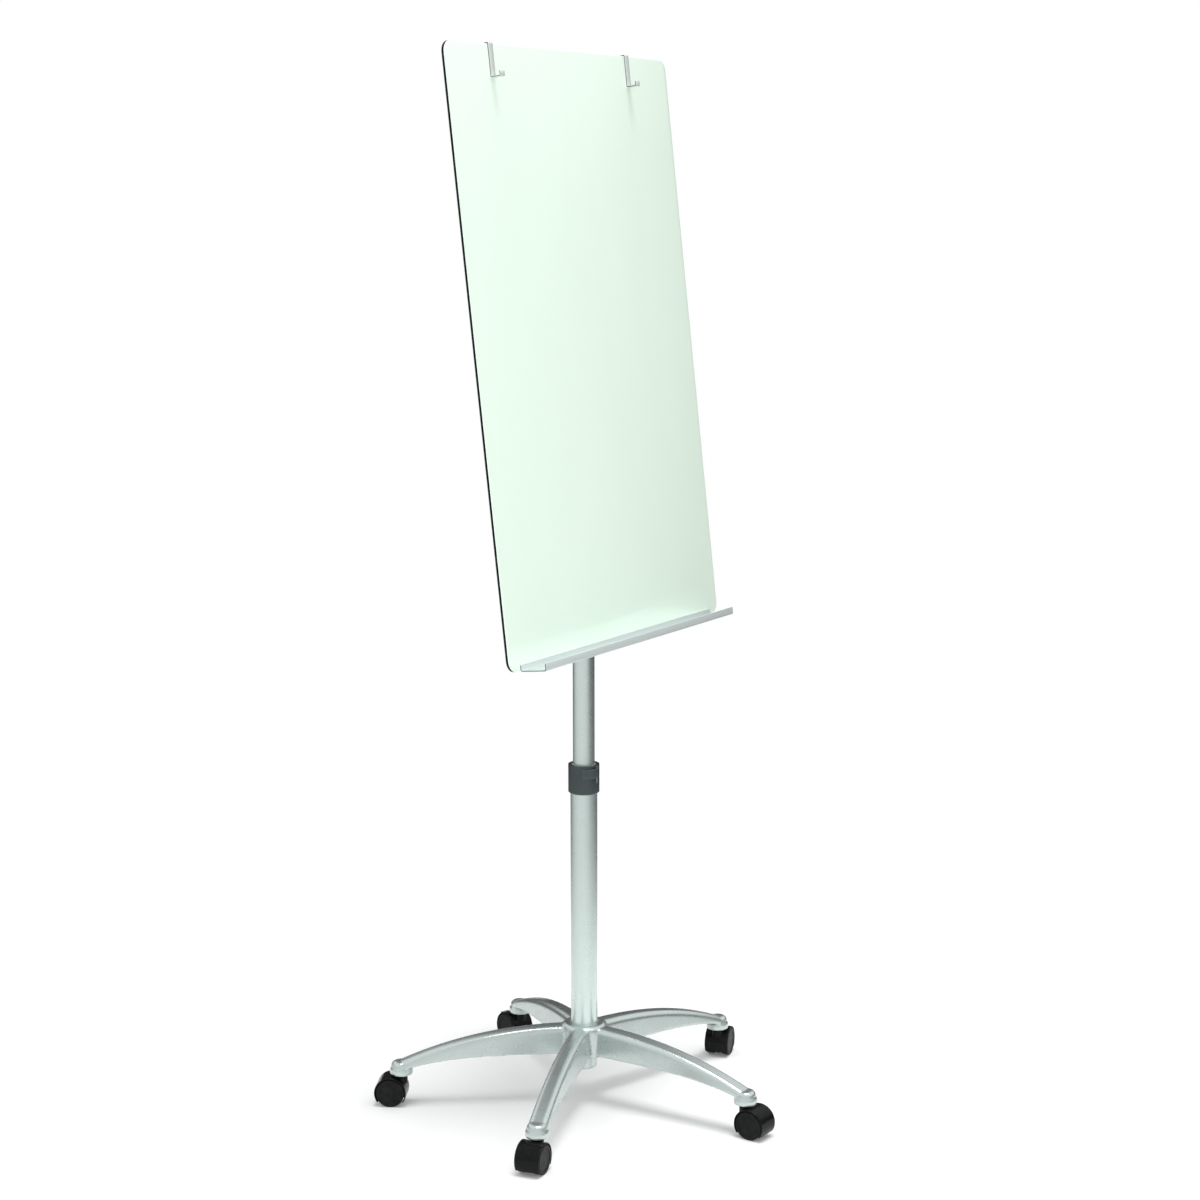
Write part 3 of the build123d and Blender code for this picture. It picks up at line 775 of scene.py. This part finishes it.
def make_glass():
    """The writing glass: a polished sheet with a bevel round its face, painted lighter as a highlight, and a dark
    edge.
    """
    shape = bmesh.new()
    rings = []
    back = -GLASS_THICKNESS
    edge = ((back, ARRIS), (back + ARRIS, 0.0), (-ARRIS, 0.0), (0.0, GLASS_BEVEL))
    for height, inset in edge:
        width = GLASS_SIZE[0] - 2 * inset
        tall = GLASS_SIZE[1] - 2 * inset
        outline = rounded_corners(rectangle(width, tall), [GLASS_CORNER - inset] * 4, CORNER_STEPS)
        rings.append([shape.verts.new((x, y, height)) for x, y in outline])
    count = len(rings[0])
    for index, (lower, upper) in enumerate(zip(rings, rings[1:])):
        for step in range(count):
            after = (step + 1) % count
            face = shape.faces.new((lower[step], lower[after], upper[after], upper[step]))
            # The front bevel takes the painted highlight; the back arris and the side take the dark edge.
            face.material_index = 2 if index == len(edge) - 2 else 1
    shape.faces.new(rings[-1]).material_index = 0
    shape.faces.new(rings[0][::-1]).material_index = 0
    bmesh.ops.transform(shape, matrix=BOARD_FRAME, verts=shape.verts)
    extra = ("glass_edge", "glass_bevel_painted_highlight")
    make_piece("writing_glass", mesh_from(shape, "writing_glass"), "board", "glass", ["glass_panel"], extra)


def soften_nodes():
    """Round the sharp edges of the small CAD parts by what moulding, bending or cutting leaves."""
    for node, width, body, finish, axis in SOFTENED:
        mesh = softened(node, width)
        extra = (finish,) if finish else ()
        # Faces square to the axis take the second finish: a painted highlight or painted shade, where one is
        # given.
        if finish:
            for face in mesh.polygons:
                face.material_index = 1 if abs(face.normal[axis]) > SQUARE_ON else 0
        make_piece(f"{node}_soft", mesh, body, slot_of_node[node], [node], extra)


SQUARE_ON = 0.95
# Node, width of its soft edges, body, and a second finish for the faces square to one axis: a painted highlight on
# the lever's flat faces, painted shade on the hooks' sides and the tray's ends.
SOFTENED = [
    ("collar_body", 0.5 * MM, "base", None, 0),
    ("clamp_lever", 0.6 * MM, "clamp_lever", "lever_painted_highlight", 2),
    ("hook_left", 0.25 * MM, "hook_left", "side_painted_shade", 0),
    ("hook_right", 0.25 * MM, "hook_right", "side_painted_shade", 0),
    ("tray", 0.3 * MM, "board", "side_painted_shade", 0),
    ("tilt_bracket", 0.4 * MM, "board", None, 0),
]

# The board's tilt at rest, and its face's centre from the tilt axis: up the board, out of it.
TILT = -radians(joints["board_tilt"]["range_deg"][0])
PIVOT = Vector(joints["board_tilt"]["pos_m"])
FACE_CENTRE = (0.134, 0.033)


def board_frame():
    """Matrix of the board's own frame: x along it, y up it, z out of its face, 0 at its centre."""
    up = Vector((0, sin(TILT), cos(TILT)))
    out = Vector((0, -cos(TILT), sin(TILT)))
    centre = PIVOT + up * FACE_CENTRE[0] + out * FACE_CENTRE[1]
    turn = Matrix((Vector((1, 0, 0)), up, out)).transposed().to_4x4()
    return Matrix.Translation(centre) @ turn


BOARD_FRAME = board_frame()

dress_cad_nodes()
make_base()
make_glass()
soften_nodes()
